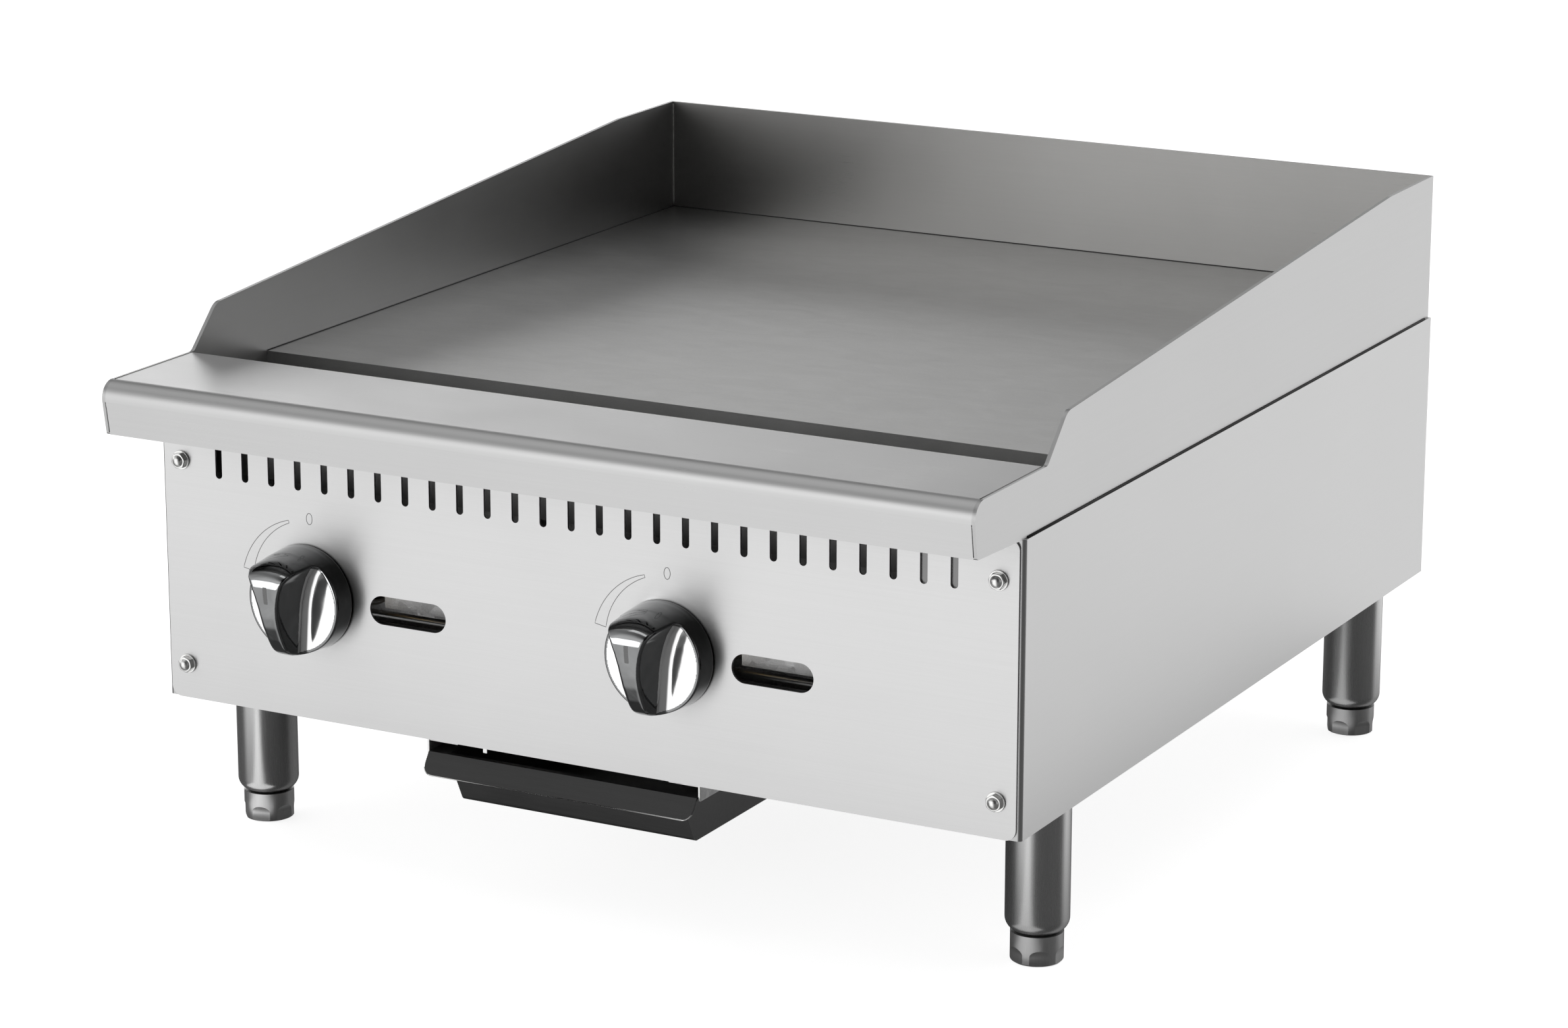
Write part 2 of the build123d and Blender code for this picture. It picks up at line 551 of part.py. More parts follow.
def grease_tray():
    # y, z, corner radius
    outer = outline([(60.0, TRAY_RIM, 0), (78, TRAY_LOW, 5), (350, TRAY_LOW, 5),
                     (360, TRAY_RIM, 0)])
    floor = TRAY_LOW + THIN_SHEET
    inner = outline([(60.4, TRAY_RIM + 2, 0), (79, floor, 4), (348.6, floor, 4),
                     (358.9, TRAY_RIM + 2, 0)])
    inner_hw = TRAY_HW - THIN_SHEET
    tray = (side_profile(outer, TRAY_X - TRAY_HW, TRAY_X + TRAY_HW)
            - side_profile(inner, TRAY_X - inner_hw, TRAY_X + inner_hw))
    for side in SIDES:
        tray += slab(TRAY_X + side * (TRAY_HW - 1), TRAY_X + side * TRAY_FLANGE_HW,
                     62.0, 359.5, RIM_UNDER, TRAY_RIM)
    # front lip, sloping down and forwards, with rounded lower corners
    half, lip_low = TRAY_FLANGE_HW, 80.7
    lip_side = outline([(62.5, TRAY_RIM, 0), (58.4, TRAY_RIM, 0), (50.0, 81.4, 0),
                        (51.1, lip_low, 0), (59.1, RIM_UNDER, 0), (62.5, RIM_UNDER, 0)])
    lip_front = outline([(-half, 100, 0), (half, 100, 0), (half, lip_low, 7),
                         (-half, lip_low, 7)])
    lip = side_profile(lip_side, TRAY_X - half, TRAY_X + half)
    return tray + (lip & Pos(TRAY_X, 0, 0) * front_plate(lip_front, 70, 30))


# ---- all pieces ----
INNER_BACK = BACK_Y - SPLASH_T
pieces = {
    "front_ledge": front_ledge(),
    "side_splash_left": side_splash(-TOP_HW, -INNER_HW),
    "side_splash_right": side_splash(INNER_HW, TOP_HW),
    "back_splash": slab(-INNER_HW, INNER_HW, INNER_BACK, BACK_Y, SPLASH_LOW, SPLASH_TOP),
    "griddle_plate": slab(-INNER_HW, INNER_HW, PLATE_FRONT, INNER_BACK, PLATE_LOW, PLATE_TOP),
    "grease_trough": grease_trough(),
    "drain_chute": drain_chute(),
    "rear_panel": rear_panel(),
    "front_panel": front_panel(),
    "tray_cross_member": tray_cross_member(),
    "bottom_heat_shield": bottom_heat_shield(),
    "front_baffle": front_baffle(),
    "panel_studs": joined(panel_stud(*p) for p in PANEL_STUDS_XZ),
    "panel_washers": joined(panel_washer(*p) for p in PANEL_STUDS_XZ),
    "panel_cap_nuts": joined(panel_cap_nut(*p) for p in PANEL_STUDS_XZ),
    "top_hold_down_studs": joined(top_stud(*p) for p in TOP_STUDS_XY),
    "top_hold_down_nuts": joined(top_nut(*p) for p in TOP_STUDS_XY),
    "body_screws": body_screws(),
    "gas_manifold": gas_manifold(),
    "inlet_elbow": inlet_elbow(),
    "inlet_pipe": inlet_pipe(),
    "manifold_brackets": joined(manifold_bracket(x) for x in BRACKET_X),
    "burner_rest_front": burner_rest(196.0),
    "burner_rest_rear": burner_rest(560.0),
    "leg_studs": joined(rod_z(x, y, LEG_STUD_LOW, 116, LEG_STUD_R)
                        for x, y, _ in LEGS.values()),
    "leg_nuts": joined(leg_nut(x, y) for x, y, _ in LEGS.values()),
    "grease_tray": grease_tray(),
}
for name, side, x in zip(("left", "right"), SIDES, KNOB_X):
    pieces["side_panel_" + name] = side_panel(side)
    pieces["tray_rail_" + name] = tray_rail(side)
    pieces["gas_valve_" + name] = gas_valve(x)
    pieces["orifice_hood_" + name] = orifice_hood(x)
    pieces["valve_stem_" + name] = stem(x, 79.9)
    pieces["knob_body_" + name], pieces["knob_face_" + name] = knob(x)
    pieces["burner_" + name] = burner(x)
    pieces["air_shutter_" + name] = air_shutter(x)
    x_valve, x_head = x + PILOT_VALVE_DX, x + PILOT_HEAD_DX
    pieces["pilot_valve_" + name] = pilot_valve(x_valve)
    pieces["pilot_tube_" + name] = pilot_tube(x_valve, x_head)
    pieces["pilot_burner_" + name] = pilot_burner(x_head)
for name, (x, y, turn) in LEGS.items():
    pieces["leg_" + name] = leg(x, y)
    pieces["foot_" + name] = foot(x, y, turn)

# ---- export, centred in Y between the ledge and the end of the inlet pipe ----
os.makedirs("parts", exist_ok=True)
mid_y = (pieces["front_ledge"].bounding_box().min.Y + INLET_END) / 2
for name, shape in pieces.items():
    export_step(Pos(0, -mid_y, 0) * shape, "parts/" + name + ".step")
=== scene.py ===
"""Counter-top gas griddle: finishes for the CAD pieces, modelled knobs, hardware and seams, studio.

The frame is in metres: +X to the griddle's right, -Y to its front, +Z up, the floor at z = 0.
Parts are modelled in millimetres, with y counted from a zero near the front of the griddle.
"""
import bpy
import math
import numpy as np
from functools import reduce
from itertools import product
from mathutils import Matrix, Vector


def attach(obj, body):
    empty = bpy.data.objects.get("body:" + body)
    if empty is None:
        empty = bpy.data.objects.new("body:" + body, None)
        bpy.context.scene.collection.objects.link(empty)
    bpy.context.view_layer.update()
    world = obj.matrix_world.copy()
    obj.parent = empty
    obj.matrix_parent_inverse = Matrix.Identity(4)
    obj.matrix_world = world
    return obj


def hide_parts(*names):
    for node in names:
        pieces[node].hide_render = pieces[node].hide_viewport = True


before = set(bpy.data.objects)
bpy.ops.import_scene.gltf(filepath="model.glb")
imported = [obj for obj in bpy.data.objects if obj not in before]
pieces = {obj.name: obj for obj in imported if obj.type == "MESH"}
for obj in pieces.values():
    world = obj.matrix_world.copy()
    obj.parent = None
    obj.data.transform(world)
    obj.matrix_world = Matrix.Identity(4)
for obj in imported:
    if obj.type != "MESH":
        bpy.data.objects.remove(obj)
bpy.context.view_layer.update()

MM = 0.001
MODEL_ZERO = 370.7366        # the modelling zero lies this far in front of the frame's origin
PANEL_Y = 58.3               # face of the front panel
SIDES = (-1, 1)              # left, right


def metres(x, y, z):
    """A point in modelling millimetres, in the frame's metres."""
    return (x * MM, (y - MODEL_ZERO) * MM, z * MM)


# ---------------------------------------------------------------- shader graphs
class Graph:
    """A node tree being wired. An input may be a plain value or another node's output."""

    def __init__(self, tree):
        self.tree = tree
        tree.nodes.clear()

    def wire(self, node, inputs):
        for key, value in inputs.items():
            if isinstance(value, bpy.types.NodeSocket):
                self.tree.links.new(value, node.inputs[key])
            else:
                node.inputs[key].default_value = value

    def node(self, kind, inputs=None, **settings):
        new = self.tree.nodes.new("ShaderNode" + kind)
        for key, value in settings.items():
            setattr(new, key, value)
        self.wire(new, inputs or {})
        return new

    def add(self, kind, inputs=None, output=0, **settings):
        """Add a node and return one of its outputs."""
        return self.node(kind, inputs, **settings).outputs[output]

    def math(self, operation, *values):
        return self.add("Math", dict(enumerate(values)), operation=operation)

    def total(self, *terms):
        return reduce(lambda first, second: self.math("ADD", first, second), terms)

    def scaled(self, colour, factor):
        return self.add("VectorMath", {0: colour, "Scale": factor}, operation="SCALE")

    def grey(self, value):
        return self.add("CombineColor", {0: value, 1: value, 2: value})

    def remap(self, value, low, high, start=0.3, end=0.7, smooth=False):
        """Map start..end to low..high, clamped."""
        return self.add("MapRange", {"Value": value, "From Min": start, "From Max": end,
                                     "To Min": low, "To Max": high},
                        interpolation_type="SMOOTHSTEP" if smooth else "LINEAR")

    def vary(self, value, reach, centre=0.0, **span):
        """Map a pattern to centre - reach .. centre + reach."""
        return self.remap(value, centre - reach, centre + reach, **span)

    def coords(self, stretch=(1, 1, 1), shift=(0, 0, 0), turn=0.0):
        """Object coordinates, turned about Z."""
        return self.add("Mapping", {"Vector": self.add("TexCoord", output="Object"),
                                    "Scale": stretch, "Location": shift,
                                    "Rotation": (0, 0, turn)})

    def noise(self, scale, detail, rough=0.55, distortion=0.0, **placing):
        return self.add("TexNoise", {"Vector": self.coords(**placing), "Scale": scale,
                                     "Detail": detail, "Roughness": rough,
                                     "Distortion": distortion})

    def dot(self, direction, axis):
        return self.add("VectorMath", {0: direction, 1: axis}, output="Value",
                        operation="DOT_PRODUCT")

    def lobe(self, direction, axis, inner, outer, low=0.0, high=1.0):
        """high within `inner` degrees of the axis, low beyond `outer` degrees."""
        return self.remap(self.dot(direction, axis), low, high, smooth=True,
                          start=math.cos(math.radians(outer)), end=math.cos(math.radians(inner)))


class Finish(Graph):
    """A material with one Principled shader."""

    def __init__(self, name):
        self.material = bpy.data.materials.new(name)
        self.material.use_nodes = True
        super().__init__(self.material.node_tree)
        output = self.node("OutputMaterial")
        self.shader = self.node("BsdfPrincipled")
        self.wire(output, {0: self.shader.outputs[0]})

    def set(self, inputs):
        self.wire(self.shader, inputs)

    def bump(self, height, strength, distance, below=None):
        """Drive the normal by a height, over another bump if one is given."""
        inputs = {"Strength": strength, "Distance": distance, "Height": height}
        if below is not None:
            inputs["Normal"] = below
        normal = self.add("Bump", inputs)
        self.set({"Normal": normal})
        return normal

    def stretch_highlights(self, amount, axis):
        self.set({"Anisotropic": amount,
                  "Tangent": self.add("Tangent", direction_type="RADIAL", axis=axis)})

    def shade_along(self, axis, start, end, low, high, absolute=False, own=False):
        """Paint light or shade into the base colour: scale it from low to high between two places
        (metres) on a world axis, or on the object's own axis."""
        colour = self.shader.inputs["Base Color"].links[0].from_socket
        if own:
            position = self.add("TexCoord", output="Object")
        else:
            position = self.add("NewGeometry", output="Position")
        value = self.add("SeparateXYZ", {0: position}, output=axis)
        if absolute:
            value = self.math("ABSOLUTE", value)
        factor = self.remap(value, low, high, start, end, smooth=True)
        self.set({"Base Color": self.scaled(colour, factor)})


# ---------------------------------------------------------------- metal finishes
def brushed(name, base, rough, grain, depth, spread, blotch, rough_spread,
            tint=(1, 1, 1), aniso=0.0, tangent="X"):
    """Brushed stainless: fine streaks, slow blotches, and roughness that follows both.

    grain: noise scale per axis, smallest along the brushing; depth: bump strength;
    spread, blotch, rough_spread: swing of the streaks, of the blotches and of the roughness.
    """
    finish = Finish(name)
    streaks = finish.noise(scale=6.0, detail=5.0, rough=0.62, stretch=grain)
    broad = finish.noise(scale=4.0, detail=3.0, rough=0.5, shift=(3.1, 1.7, 5.2),
                         stretch=tuple(g * 0.33 for g in grain))
    blotches = finish.noise(scale=7.0, detail=3.0, rough=0.5, distortion=0.4, shift=(7, 2, 4))
    factor = finish.total(finish.vary(streaks, spread), finish.vary(broad, spread * 0.6),
                          finish.vary(blotches, blotch), 1.0)
    finish.set({
        "Base Color": finish.scaled(tuple(base * t for t in tint), factor),
        "Metallic": 1.0,
        "Roughness": finish.total(finish.vary(streaks, rough_spread, centre=rough),
                                  finish.vary(blotches, rough_spread * 0.7))})
    finish.bump(streaks, strength=depth, distance=0.0006)
    if aniso:
        finish.stretch_highlights(aniso, tangent)
    return finish


def galvanised_sheet():
    """Zinc spangle: each cell has its own grey and roughness."""
    finish = Finish("galvanised_sheet")
    cells = finish.add("TexVoronoi", {"Scale": 140.0, "Vector": finish.coords()}, output="Color")
    spangle = finish.node("SeparateColor", {0: cells})
    fine = finish.noise(scale=900.0, detail=3.0)
    value = finish.total(finish.vary(spangle.outputs[0], 0.09, centre=0.68, start=0, end=1),
                         finish.vary(fine, 0.06))
    finish.set({"Base Color": finish.grey(value), "Metallic": 0.9,
                "Roughness": finish.remap(spangle.outputs[1], low=0.32, high=0.54,
                                          start=0, end=1)})
    finish.bump(fine, strength=0.25, distance=0.0004)
    return finish.material


def mottled(name, colour, rough, metallic, scale, swing, rough_swing=0.08, strength=0.1):
    finish = Finish(name)
    fine = finish.noise(scale=scale, detail=5.0)
    broad = finish.noise(scale=scale * 0.17, detail=3.0, shift=(4, 9, 1))
    factor = finish.total(finish.vary(fine, swing), finish.vary(broad, swing), 1.0)
    finish.set({
        "Base Color": finish.scaled(colour, factor),
        "Metallic": metallic,
        "Roughness": finish.total(finish.vary(broad, rough_swing, centre=rough),
                                  finish.vary(fine, rough_swing * 0.4)),
        "Coat Roughness": 0.05})
    finish.bump(fine, strength=strength, distance=0.0004)
    return finish.material


def griddle_plate_steel():
    """Ground steel with swirls and heat blotches."""
    finish = Finish("griddle_plate_steel")
    grind = finish.noise(scale=5.0, detail=6.0, rough=0.6, stretch=(2.0, 200, 200), turn=0.04)
    swirl = finish.noise(scale=1.0, detail=5.0, rough=0.6, distortion=0.8,
                         stretch=(26, 60, 60), turn=-0.6)
    blotches = finish.noise(scale=4.5, detail=5.0, rough=0.6, distortion=0.6, shift=(2, 5, 0))
    fine = finish.noise(scale=700.0, detail=3.0, rough=0.6)
    factor = finish.total(
        finish.vary(grind, reach=0.014), finish.vary(swirl, reach=0.045),
        finish.vary(blotches, reach=0.055), finish.vary(fine, reach=0.022), 1.0)
    finish.set({
        "Base Color": finish.scaled((0.545, 0.545, 0.54), factor),
        "Metallic": 1.0,
        "Roughness": finish.total(finish.remap(blotches, low=0.36, high=0.41),
                                  finish.vary(grind, reach=0.01))})
    grooves = finish.bump(grind, strength=0.015, distance=0.0006)
    finish.bump(fine, strength=0.06, distance=0.0003, below=grooves)
    finish.stretch_highlights(0.1, axis="X")
    # painted shade: the plate's base colour darkens towards its rear
    finish.shade_along(1, start=0.03, end=0.30, low=1.0, high=0.74)
    return finish.material


def knob_dark_chrome():
    finish = Finish("knob_dark_chrome")
    waves = finish.noise(scale=60.0, detail=3.0, rough=0.5, distortion=0.8)
    fine = finish.noise(scale=500.0, detail=3.0)
    factor = finish.total(finish.vary(waves, reach=0.12), 1.0)
    finish.set({
        "Base Color": finish.scaled((0.235, 0.238, 0.24), factor),
        "Metallic": 1.0,
        "Roughness": finish.total(finish.remap(fine, low=0.03, high=0.06),
                                  finish.remap(waves, low=0.0, high=0.03))})
    finish.bump(waves, strength=0.10, distance=0.0008)
    return finish.material


def knob_bright_trim():
    finish = Finish("knob_bright_trim")
    waves = finish.noise(scale=45.0, detail=3.0, rough=0.5, distortion=0.6)
    finish.set({"Base Color": (0.93, 0.93, 0.93, 1), "Metallic": 1.0,
                "Roughness": finish.remap(waves, low=0.06, high=0.14)})
    finish.bump(waves, strength=0.10, distance=0.0006)
    return finish.material


front = brushed("brushed_front", base=0.625, rough=0.35, grain=(6.0, 500, 700), depth=0.03,
                spread=0.016, blotch=0.008, rough_spread=0.03, aniso=0.72)
ledge = brushed("brushed_ledge", base=0.54, rough=0.31, grain=(5.0, 520, 520), depth=0.03,
                spread=0.016, blotch=0.008, rough_spread=0.03, aniso=0.45)
side_sheet = brushed("satin_side", base=0.50, rough=0.30, grain=(600, 6, 600), depth=0.015,
                     spread=0.008, blotch=0.006, rough_spread=0.02, aniso=0.3, tangent="Y")
side_splash = brushed("brushed_splash_side", base=0.475, rough=0.33, grain=(500, 6, 500),
                      depth=0.02, spread=0.012, blotch=0.02, rough_spread=0.02,
                      aniso=0.4, tangent="Y")
back_splash = brushed("brushed_splash_back", base=0.465, tint=(1.0, 0.99, 0.97), rough=0.29,
                      grain=(6, 500, 500), depth=0.015, spread=0.012, blotch=0.025,
                      rough_spread=0.015, aniso=0.6)
leg = brushed("brushed_leg", base=0.48, rough=0.27, grain=(500, 500, 6.0), depth=0.03,
              spread=0.03, blotch=0.02, rough_spread=0.03)
foot = brushed("machined_foot", base=0.54, rough=0.36, grain=(300, 300, 20), depth=0.06,
               spread=0.05, blotch=0.05, rough_spread=0.04)
tray = brushed("satin_tray", base=0.085, rough=0.40, grain=(8, 300, 300), depth=0.05,
               spread=0.05, blotch=0.06, rough_spread=0.06)
galvanised = galvanised_sheet()
trough = brushed("mill_trough", base=0.50, rough=0.46, grain=(4, 200, 200), depth=0.02,
                 spread=0.02, blotch=0.04, rough_spread=0.02)
# painted light: the pan behind the tray's lip is brightened to 1.8 times the lip's colour
tray.shade_along(1, start=-0.3120, end=-0.3108, low=1.0, high=1.8, own=True)
# painted shade: the side sheets' folds turned inward are darkened to 0.42 of the outer faces'
# colour
side_sheet.shade_along(0, start=0.2800, end=0.2860, low=0.42, high=1.0, absolute=True)
# painted shade: the top strip of the trough wall is darkened to 0.40
trough.shade_along(2, start=0.2985, end=0.3010, low=1.0, high=0.40)

# name: colour, roughness, metallic, noise scale, colour swing[, roughness swing, bump strength]
MOTTLED = {
    "zinc_hardware": ((0.62, 0.62, 0.58), 0.34, 1.0, 220, 0.05),
    "polished_hardware": ((0.86, 0.86, 0.85), 0.31, 1.0, 160, 0.04, 0.05, 0.05),
    "black_pipe": ((0.045, 0.045, 0.048), 0.5, 0.6, 120, 0.15),
    "machined_brass": ((0.70, 0.50, 0.22), 0.30, 1.0, 150, 0.08),
    "turned_stem": ((0.55, 0.55, 0.55), 0.25, 1.0, 200, 0.05),
    "aluminium_tube": ((0.72, 0.72, 0.72), 0.32, 1.0, 200, 0.05),
    "pilot_steel": ((0.42, 0.41, 0.40), 0.38, 1.0, 140, 0.08),
    "aluminised_burner": ((0.33, 0.31, 0.29), 0.5, 0.9, 70, 0.12),
    "knob_pointer_ink": ((0.20, 0.20, 0.20), 0.4, 0.3, 300, 0.05),
    "dial_ink": ((0.22, 0.22, 0.22), 0.5, 0.2, 300, 0.05),
    "weld_bead": ((0.26, 0.26, 0.255), 0.40, 1.0, 500, 0.2, 0.10, 0.2),
    "seam_shadow": ((0.05, 0.05, 0.05), 0.6, 0.3, 300, 0.25, 0.10, 0.2),
    "corner_bead": ((0.62, 0.62, 0.60), 0.45, 1.0, 400, 0.15, 0.10, 0.2),
    "tray_hem_edge": ((0.80, 0.80, 0.79), 0.30, 1.0, 400, 0.06, 0.05, 0.05),
}
metal = {name: mottled(name, *row) for name, row in MOTTLED.items()}
bright, zinc, pipe = (metal[k] for k in ("polished_hardware", "zinc_hardware", "black_pipe"))
plate = griddle_plate_steel()

FINISH_BY_NAME = {
    "front_panel": front.material, "rear_panel": front.material, "front_ledge": ledge.material,
    "side_splash_left": side_splash.material, "side_splash_right": side_splash.material,
    "back_splash": back_splash.material, "side_panel_left": side_sheet.material,
    "side_panel_right": side_sheet.material, "griddle_plate": plate,
    "grease_trough": trough.material, "drain_chute": trough.material,
    "grease_tray": tray.material, "panel_studs": bright, "panel_washers": bright,
    "panel_cap_nuts": bright, "body_screws": bright, "top_hold_down_studs": zinc,
    "top_hold_down_nuts": zinc, "leg_studs": zinc, "leg_nuts": zinc,
    "gas_manifold": pipe, "inlet_elbow": pipe, "inlet_pipe": pipe,
}
FINISH_BY_PREFIX = {
    "leg_": leg.material, "foot_": foot.material,
    ("gas_valve", "orifice", "pilot_valve"): metal["machined_brass"],
    "valve_stem": metal["turned_stem"], "pilot_tube": metal["aluminium_tube"],
    "pilot_burner": metal["pilot_steel"],
    ("burner_left", "burner_right", "air_shutter"): metal["aluminised_burner"],
}
for name, piece in pieces.items():
    by_prefix = (m for prefix, m in FINISH_BY_PREFIX.items() if name.startswith(prefix))
    piece.data.materials.clear()
    piece.data.materials.append(FINISH_BY_NAME.get(name, next(by_prefix, galvanised)))


# ---------------------------------------------------------------- mesh helpers
def add_mesh(name, points, faces, materials, rides="frame", slot="stainless_brushed",
             replaces=(), face_materials=None, smooth=True):
    """Object from points in modelling millimetres."""
    points = (np.asarray(points, float) - (0, MODEL_ZERO, 0)) * MM
    mesh = bpy.data.meshes.new(name)
    mesh.from_pydata(points.tolist(), [], [tuple(int(i) for i in face) for face in faces])
    mesh.validate()
    obj = bpy.data.objects.new(name, mesh)
    bpy.context.scene.collection.objects.link(obj)
    for material in materials:
        mesh.materials.append(material)
    if face_materials is not None:
        mesh.polygons.foreach_set("material_index", face_materials[:len(mesh.polygons)])
    if smooth:
        mesh.polygons.foreach_set("use_smooth", np.ones(len(mesh.polygons), bool))
    mesh.update()
    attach(obj, rides)
    if replaces:
        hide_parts(*replaces)


def skin(rings, sides, first=0, closed=False):
    """Faces joining rings of points in turn; the ends are capped unless the run is closed."""
    faces = []
    for ring in range(rings if closed else rings - 1):
        near = first + sides * ring
        far = first + sides * ((ring + 1) % rings)
        for k in range(sides):
            after = (k + 1) % sides
            faces.append((near + k, near + after, far + after, far + k))
    if not closed:
        last = first + sides * (rings - 1)
        faces.append(tuple(range(first + sides - 1, first - 1, -1)))
        faces.append(tuple(range(last, last + sides)))
    return faces


def surface_nets(field, low, step):
    """Smooth quad mesh of the zero surface of a sampled distance field (negative inside)."""
    shape = tuple(size - 1 for size in field.shape)
    total = np.zeros((*shape, 3))
    count = np.zeros(shape)
    for axis in range(3):
        others = [k for k in range(3) if k != axis]
        for shifts in product((0, 1), repeat=2):
            near = [0, 0, 0]
            near[others[0]], near[others[1]] = shifts
            far = list(near)
            far[axis] = 1
            start, end = (field[tuple(slice(k, size + k) for k, size in zip(offset, shape))]
                          for offset in (near, far))
            crosses = (start < 0) != (end < 0)
            along = np.where(crosses, start / np.where(crosses, start - end, 1.0), 0.0)
            for k in range(3):
                total[..., k] += np.where(crosses, along if k == axis else near[k], 0.0)
            count += crosses
    active = count > 0
    index = -np.ones(shape, np.int64)
    index[active] = np.arange(active.sum())
    points = np.asarray(low) + step * (np.argwhere(active)
                                       + total[active] / count[active][:, None])
    inside = field < 0
    faces = []
    for axis in range(3):
        across = [(axis + 1) % 3, (axis + 2) % 3]
        window = [slice(1, -1)] * 3
        window[axis] = slice(0, -1)
        start = inside[tuple(window)]
        window[axis] = slice(1, None)
        end = inside[tuple(window)]
        for crossing, order in ((start & ~end, 1), (~start & end, -1)):
            edges = np.argwhere(crossing)
            edges[:, across] += 1
            quad = []
            for offset in ((-1, -1), (0, -1), (0, 0), (-1, 0)):
                cell = edges.copy()
                cell[:, across] += offset
                quad.append(index[tuple(cell.T)])
            faces.append(np.stack(quad, 1)[:, ::order])
    return points, np.concatenate(faces)


def mesh_field(field, reach, back, front, step):
    """Mesh a field of x, z (within reach of the axis) and depth (back to front)."""
    across = np.arange(-reach, reach + step, step)
    depths = np.arange(back, front + step, step)
    x, z, depth = np.meshgrid(across, across, depths, indexing="ij")
    return surface_nets(field(x, z, depth), (-reach, -reach, back), step)


def on_panel(points, x, z):
    """Move (x, z, depth) points to a place on the front panel, depth counted forwards."""
    return np.stack([x + points[:, 0], PANEL_Y - points[:, 2], z + points[:, 1]], 1)


def smooth_min(first, second, blend):
    share = np.clip(0.5 + 0.5 * (second - first) / blend, 0, 1)
    return second * (1 - share) + first * share - blend * share * (1 - share)


def smooth_max(first, second, blend):
    return -smooth_min(-first, -second, blend)


def smooth_curve(x, stations, width=5):
    """Straight runs between the stations, rounded over a window of the given width."""
    places, values = zip(*stations)
    grid = np.linspace(min(places) - 3 * width, max(places) + 3 * width, 2400)
    count = max(3, int(width / (grid[1] - grid[0])))
    kernel = np.hanning(count + 2)[1:-1]
    kernel /= kernel.sum()
    pad = count // 2 + 1
    padded = np.pad(np.interp(grid, places, values), pad, mode="edge")
    return np.interp(x, grid, np.convolve(padded, kernel, mode="same")[pad:-pad])


# ---------------------------------------------------------------- knobs
# A round skirt with an upright grip bar; x, z from the knob's axis, depth out from the panel.
KNOB_X = {"left": -194.6, "right": 65.4}
KNOB_Z = 182.5
SKIRT_RADIUS = 34.4
SKIRT_BACK, SKIRT_FRONT = 1.3, 16.7
GRIP_RADIUS = 33.5           # round limit of the grip, at the skirt's front
GRIP_BACK = 10.0
FLANK_SCALE = 0.95           # keeps sloping faces close to true distance
# z, depth of the grip's front edge
CREST = ((-40, 20.5), (-33, 28), (-28, 32.9), (-20, 37.6), (-10, 42.3), (-3, 44.5), (6, 46.3),
         (14, 47.3), (18, 47.4), (22, 47.0), (26, 45.6), (30, 42.6), (36, 36))
# z, half-width of the grip at its crest
HALF_WIDTH = ((-40, 5.3), (-28, 5.6), (-16, 5.9), (-3.4, 6.5), (4, 7.4), (12, 9.2), (20, 12.0),
              (26, 15.8), (31, 20.5), (36, 26))
# the bright ring on the skirt's front, beside the grip
TRIM_RADIUS = 31.3
TRIM_BACK, TRIM_FRONT = 15.6, 22.0
TRIM_GAP = 0.6
# the pointer line on the crest
POINTER_BOTTOM, POINTER_TOP, POINTER_RINGS = 6.6, 17.8, 14
POINTER_HALF, POINTER_END_HALF = 1.45, 1.25
POINTER_RAISED, POINTER_SUNK = 0.06, 0.5


def knob_field(x, z, depth):
    radius = np.sqrt(x * x + z * z)
    taper = SKIRT_RADIUS - (depth - SKIRT_BACK) * 0.058
    skirt = smooth_max(radius - taper, depth - SKIRT_FRONT, blend=1.6)
    skirt = smooth_max(skirt, SKIRT_BACK - depth, blend=0.6)
    envelope = radius - (GRIP_RADIUS - (depth - SKIRT_FRONT) * 0.095)
    crest = smooth_curve(z, CREST)
    half = smooth_curve(z, HALF_WIDTH) + 0.075 * np.clip(crest - depth, 0, 40)
    grip = smooth_max((depth - crest) * FLANK_SCALE, envelope, blend=8.0)
    grip = smooth_max(grip, (np.abs(x) - half) * FLANK_SCALE, blend=2.4)
    grip = np.maximum(grip, GRIP_BACK - depth)
    limit = (SKIRT_RADIUS - (depth - SKIRT_BACK) * 0.062
             - np.clip(depth - SKIRT_FRONT, 0, 60) * 0.02)
    return smooth_max(smooth_min(skirt, grip, blend=6.5), radius - limit, blend=0.5)


def settle(points, field, passes=3, nudge=0.02, share=0.8):
    """Pull points onto the field's zero surface along its gradient."""
    for _ in range(passes):
        here = field(*points.T)
        slope = np.stack([(field(*(points + nudge * unit).T) - here) / nudge
                          for unit in np.eye(3)], 1)
        steepness = np.maximum((slope * slope).sum(1), 0.25)
        points = points - slope * (here / steepness)[:, None] * share
    return points


def knob_pointer(side, knob_x):
    """Thin strip that follows the crest."""
    points = []
    for i, z in enumerate(np.linspace(POINTER_BOTTOM, POINTER_TOP, POINTER_RINGS)):
        half = POINTER_HALF if 0 < i < POINTER_RINGS - 1 else POINTER_END_HALF
        crest = PANEL_Y - float(smooth_curve(z, CREST))
        points += [(knob_x + s * half, crest - POINTER_RAISED, KNOB_Z + z) for s in (-1, 1)]
        points += [(knob_x + s * half, crest + POINTER_SUNK, KNOB_Z + z) for s in (1, -1)]
    add_mesh("knob_pointer_" + side, points, skin(POINTER_RINGS, 4), [metal["knob_pointer_ink"]],
             rides="knob_" + side, slot="knob_black", smooth=False)


